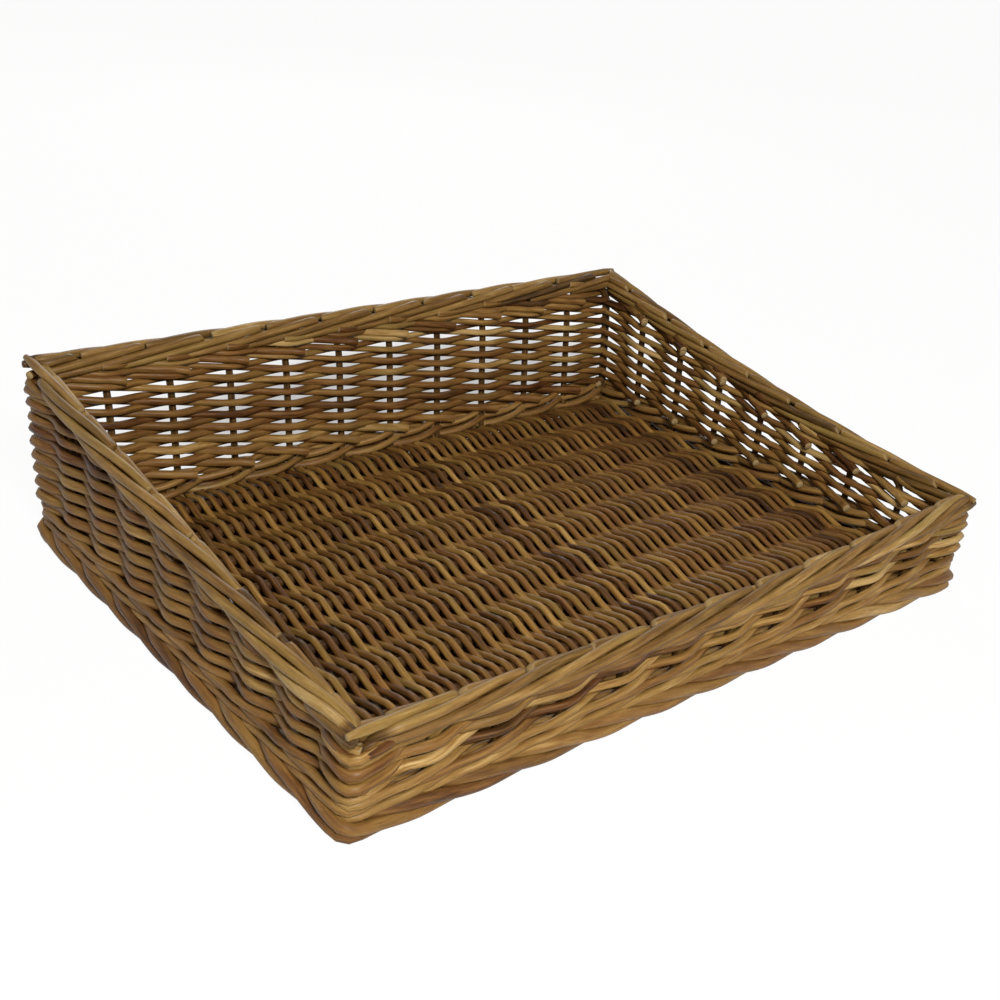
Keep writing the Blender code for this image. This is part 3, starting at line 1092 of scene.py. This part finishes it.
@dataclass
class FootRods:
    """Thick short rods round the bottom edge, one for each bay, that run down to the right."""

    high: float = 13.6 * MM
    low: float = 4.2 * MM
    butt: float = 9.4 * MM
    tip: float = 7.6 * MM
    outside: float = 9.2 * MM
    after_stake: float = 0.2
    span: float = 2.2
    sinks_after: float = 0.4
    sinks_over: float = 1.2
    comes_out: tuple[float, float] = (0.3, 1.4)
    goes_in: tuple[float, float] = (1.9, 0.55)
    front_painted_light: float = 0.14
    tones: tuple[float, float] = (0.38, 0.12)
    stray: float = 0.4 * MM
    steps: int = 8
    chance: random.Random = field(default_factory=lambda: random.Random(9))

    def build(self, material: bpy.types.Material) -> None:
        """Builds the rods, which come out of the wall, sink to the floor and go in again.

        Args:
            material: The rods' finish.
        """
        bundle = RodBundle("foot_rods", 12, 60)
        for stake in range(FORM.bays):
            wander = Wander(self.chance, self.stray)
            path, widths = [], []
            for along in evenly(0, self.span, round(self.span * self.steps)):
                turn = stake + self.after_stake + along
                sunk = min(1.0, max(0.0, (along - self.sinks_after) / self.sinks_over))
                height = self.high + (self.low - self.high) * eased(sunk)
                out = min(1.0, self.comes_out[0] + self.comes_out[1] * along,
                          self.goes_in[0] - self.goes_in[1] * along)
                path.append(FORM.point(turn, self.outside * out, height + wander.at(turn) * (1 - sunk)))
                widths.append(self.butt + (self.tip - self.butt) * along / self.span)
            # Painted light: the rod's tone is raised on the front wall, the lit side.
            tone = self.chance.gauss(*self.tones) + self.front_painted_light * FORM.front_painted_light_share(stake + 1)
            bundle.add(smoothed(path, 1), widths, tone)
        bundle.finish(material, Slot.WALE, [])


@dataclass
class WovenBase:
    """Nine thick sticks with thin rods woven over and under them."""

    sticks: int = 9
    stick: float = 8.4 * MM
    stick_edge: float = 178.2 * MM
    stick_inset: float = 2 * MM
    stick_steps: int = 40
    height: float = 13.0 * MM
    weavers: int = 118
    weaver: float = 5.1 * MM
    pitch: float = 4.75 * MM
    past_stick: float = 0.47
    swing: float = 5.9 * MM
    slant: float = 0.7 * MM
    stick_tones: tuple[float, float] = (0.5, 0.12)
    tones: tuple[float, float] = (0.5, 0.17)
    widths: tuple[float, float] = (0.92, 1.1)
    stick_stray: float = 0.4 * MM
    stray: float = 0.7 * MM
    steps: int = 7
    chance: random.Random = field(default_factory=lambda: random.Random(13))

    @property
    def gap(self) -> float:
        """The distance between sticks."""
        return 2 * self.stick_edge / (self.sticks - 1)

    def weaver_rod(self, number: int) -> Rod:
        """Draws one rod of the weave.

        Args:
            number: The rod's number from the left.

        Returns:
            The rod.
        """
        east = (number - (self.weavers - 1) / 2) * self.pitch
        side = Wander(self.chance, self.stray)
        sign = 1 if number % 2 else -1
        slant = self.slant * (1 + number / self.weavers)
        path = []
        for k in range(round((self.sticks - 1 + 2 * self.past_stick) * self.steps) + 1):
            turn = k / self.steps - self.past_stick
            lean = slant * math.sin(math.pi * turn) * sign
            path.append(Vector((east + side.at(turn) + lean - FORM.middle[0],
                                -self.stick_edge + self.gap * turn - FORM.middle[1],
                                self.height + sign * self.swing * zigzag(turn, (1, 3, 5)))))
        return path, [self.weaver * self.chance.uniform(*self.widths)] * len(path)

    def build(self, stick_skin: bpy.types.Material, base_skin: bpy.types.Material) -> None:
        """Builds the sticks and the weave.

        Args:
            stick_skin: The sticks' finish.
            base_skin: The weave's finish.
        """
        sticks = RodBundle("base_sticks", 12, 70)
        end = FORM.half_length - self.stick_inset
        for k in range(self.sticks):
            north = -self.stick_edge + self.gap * k - FORM.middle[1]
            wander = Wander(self.chance, self.stick_stray)
            path = [Vector((east - FORM.middle[0], north + wander.at(s / 4), self.height))
                    for s, east in enumerate(evenly(-end, end, self.stick_steps))]
            sticks.add(path, [self.stick] * len(path), self.chance.gauss(*self.stick_tones))
        sticks.finish(stick_skin, Slot.STICK, nodes_named("base_stick"))
        weave = RodBundle("base_rods", 8, 71)
        for number in range(self.weavers):
            weave.add(*self.weaver_rod(number), self.chance.gauss(*self.tones))
        weave.finish(base_skin, Slot.BASE, nodes_named("base_weave"))


@dataclass
class Studio:
    """The floor, the lights and the camera."""

    eye: tuple[float, float, float] = (-0.6532, -0.7163, 0.5257)
    azimuth: float = math.radians(-41.86)
    elevation: float = math.radians(26.06)
    roll: float = math.radians(6.16)
    lens: float = 49.45
    white: str = "ffffff"
    whiteness: float = 0.96
    floor_drop: float = 0.2 * MM
    floor_white: str = "f4f4f2"
    # Painted shade: the floor's colour under the tray, and in part in the painted shadow behind it.
    painted_floor_shade: str = "5b5046"
    dark_half: tuple[float, float] = (0.287, 0.205)
    dark_edge: float = 4 * MM
    # Painted shadow: a soft ellipse on the floor behind the tray: its middle, half sizes, core and least
    # whiteness.
    shadow: tuple[float, float] = (0.15, 0.33)
    shadow_half: tuple[float, float] = (0.36, 0.16)
    shadow_core: float = 0.55
    shadow_white: float = 0.45
    room: str = "e9c79c"
    room_light: float = 0.145

    def camera(self) -> None:
        """Sets the camera where the photograph was taken from."""
        data = bpy.data.cameras.new("photograph_view")
        data.lens = self.lens
        data.sensor_width = 36
        camera = add_object("photograph_view", data)
        ahead = Vector((-math.sin(self.azimuth) * math.cos(self.elevation),
                        math.cos(self.azimuth) * math.cos(self.elevation), -math.sin(self.elevation)))
        right = ahead.cross(Vector((0, 0, 1))).normalized()
        up = right.cross(ahead)
        turned_right = math.cos(self.roll) * right + math.sin(self.roll) * up
        turned_up = math.cos(self.roll) * up - math.sin(self.roll) * right
        axes = Matrix((turned_right, turned_up, -ahead)).transposed().to_4x4()
        camera.matrix_world = Matrix.Translation(self.eye) @ axes
        bpy.context.scene.camera = camera

    def ground(self) -> None:
        """Lays a pale floor that is white to the camera, with painted shade under the tray and a painted
        shadow behind it.
        """
        shape = bmesh.new()
        bmesh.ops.create_grid(shape, x_segments=1, y_segments=1, size=6)
        floor = add_mesh("studio_floor", shape, self.floor_paint())
        floor.location.z = -self.floor_drop
        floor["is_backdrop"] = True

    def floor_paint(self) -> bpy.types.Material:
        """Makes the floor's matt white paint: white paper to the camera, with painted shade and a painted
        shadow.

        Returns:
            The material.
        """
        paint = bpy.data.materials.new("matt_white_floor")
        paint.use_nodes = True
        tree = paint.node_tree
        matt = tree.nodes["Principled BSDF"]
        matt.inputs["Roughness"].default_value = 0.9
        matt.inputs["Specular IOR Level"].default_value = 0.1
        glow = add_node(tree, "ShaderNodeEmission", {"Color": linear(self.white), "Strength": 1.0})
        open_floor = self.open_floor(tree)
        # Painted shade: the floor's colour turns dark under the tray and greyer in the painted shadow.
        shade = add_node(tree, "ShaderNodeMix", {
            "Factor": open_floor, "A": linear(self.painted_floor_shade), "B": linear(self.floor_white)},
            data_type="RGBA")
        tree.links.new(shade.outputs["Result"], matt.inputs["Base Color"])
        share = add_node(tree, "ShaderNodeMath", {0: self.looked_at(tree), 1: open_floor},
                         operation="MULTIPLY")
        mix = add_node(tree, "ShaderNodeMixShader", {
            0: share.outputs[0], 1: matt.outputs[0], 2: glow.outputs[0]})
        tree.links.new(mix.outputs[0], tree.nodes["Material Output"].inputs["Surface"])
        return paint

    @staticmethod
    def looked_at(tree: bpy.types.NodeTree) -> bpy.types.NodeSocket:
        """Finds the rays that look, from the camera or by way of gloss or glass, and don't light.

        Args:
            tree: The nodes.

        Returns:
            1 for such a ray and 0 for any other.
        """
        ray = add_node(tree, "ShaderNodeLightPath").outputs
        either = add_node(tree, "ShaderNodeMath", {0: ray["Is Camera Ray"], 1: ray["Is Glossy Ray"]},
                          operation="MAXIMUM")
        return add_node(tree, "ShaderNodeMath", {0: either.outputs[0], 1: ray["Is Transmission Ray"]},
                        operation="MAXIMUM").outputs[0]

    def open_floor(self, tree: bpy.types.NodeTree) -> bpy.types.NodeSocket:
        """Finds how white the floor is to the camera: not at all under the tray, where the floor is also
        painted dark as shade.

        Args:
            tree: The paint's nodes.

        Returns:
            A share that is 0 under the tray and the paper's whiteness a little outside it, less in a painted
            soft shadow behind the tray, away from the lamp, seen through the gaps of its weave.
        """
        place = add_node(tree, "ShaderNodeTexCoord").outputs["Object"]
        centred = add_node(tree, "ShaderNodeVectorMath", {0: place, 1: (*FORM.middle, 0)}, operation="ADD")
        away = add_node(tree, "ShaderNodeVectorMath", {0: centred.outputs[0]}, operation="ABSOLUTE")
        past = add_node(tree, "ShaderNodeVectorMath", {0: away.outputs[0], 1: (*self.dark_half, 0)},
                        operation="SUBTRACT")
        parts = add_node(tree, "ShaderNodeSeparateXYZ", {0: past.outputs[0]})
        farther = add_node(tree, "ShaderNodeMath", {0: parts.outputs["X"], 1: parts.outputs["Y"]},
                           operation="MAXIMUM")
        beside = add_node(tree, "ShaderNodeMapRange", {
            "Value": farther.outputs[0], "From Min": -self.dark_edge, "From Max": self.dark_edge,
            "To Min": 0.0, "To Max": self.whiteness})
        # Painted shadow: a soft ellipse behind the tray, away from the front lamp.
        off = add_node(tree, "ShaderNodeVectorMath", {0: place, 1: (*self.shadow, 0)}, operation="SUBTRACT")
        scaled = add_node(tree, "ShaderNodeVectorMath", {0: off.outputs[0], 1: (*self.shadow_half, 1)},
                          operation="DIVIDE")
        reach = add_node(tree, "ShaderNodeVectorMath", {0: scaled.outputs[0]}, operation="LENGTH")
        painted_shadow_share = add_node(tree, "ShaderNodeMapRange", {
            "Value": reach.outputs["Value"], "From Min": self.shadow_core, "From Max": 1.0,
            "To Min": self.shadow_white, "To Max": self.whiteness})
        return add_node(tree, "ShaderNodeMath", {0: beside.outputs["Result"], 1: painted_shadow_share.outputs["Result"]},
                        operation="MINIMUM").outputs[0]

    def lights(self) -> None:
        """Hangs a soft lamp over the front and weak ones at the left and the back, in a pale room."""
        world = bpy.data.worlds.new("pale_room")
        bpy.context.scene.world = world
        world.use_nodes = True
        tree = world.node_tree
        room = tree.nodes["Background"]
        room.inputs["Color"].default_value = linear(self.room)
        room.inputs["Strength"].default_value = self.room_light
        paper = add_node(tree, "ShaderNodeBackground", {"Color": linear(self.white), "Strength": 1.0})
        mix = add_node(tree, "ShaderNodeMixShader", {
            0: self.looked_at(tree), 1: room.outputs[0], 2: paper.outputs[0]})
        tree.links.new(mix.outputs[0], tree.nodes["World Output"].inputs["Surface"])
        self.lamp("front_lamp", (-0.65, -1.35, 1.25), 0.42, 48)
        self.lamp("side_lamp", (-1.9, -0.2, 1.2), 1.1, 4)
        self.lamp("back_lamp", (1.0, 1.7, 1.1), 0.9, 13)

    def lamp(self, name: str, place: tuple[float, float, float], size: float, power: float) -> None:
        """Hangs a square lamp that faces the tray.

        Args:
            name: The lamp's name.
            place: Where it hangs, in metres.
            size: The length of its side.
            power: Its power in watts.
        """
        data = bpy.data.lights.new(name, "AREA")
        data.energy = power
        data.size = size
        lamp = add_object(name, data)
        lamp.location = place
        lamp.rotation_euler = (-Vector(place)).to_track_quat("-Z", "Y").to_euler()

    def build(self) -> None:
        """Sets up the view."""
        self.camera()
        self.ground()
        self.lights()
        bpy.context.scene.view_settings.view_transform = "Standard"


def write_sizes() -> None:
    """Logs the CAD's box and the dressed tray's box as plain lists."""
    boxes = {"cad": CAD_BOX, "visual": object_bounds()}
    for name, (low, high) in boxes.items():
        LOG.info("%s box: %s to %s", name, [round(v, 5) for v in low], [round(v, 5) for v in high])


def main() -> None:
    """Builds the tray's pieces in the order in which they are woven."""
    logging.basicConfig(level=logging.INFO, format="%(message)s", stream=sys.stdout)
    Studio().build()
    WovenBase().build(STICK_SKIN.make(), BASE_SKIN.make())
    foot_skin = WALE_SKIN.make()
    FootRods().build(foot_skin)
    FootWale().build(foot_skin)
    FrenchRand().build(WALL_SKIN.make())
    RolledBorder().build(BORDER_SKIN.make())
    write_sizes()


if __name__ == "__main__":
    main()
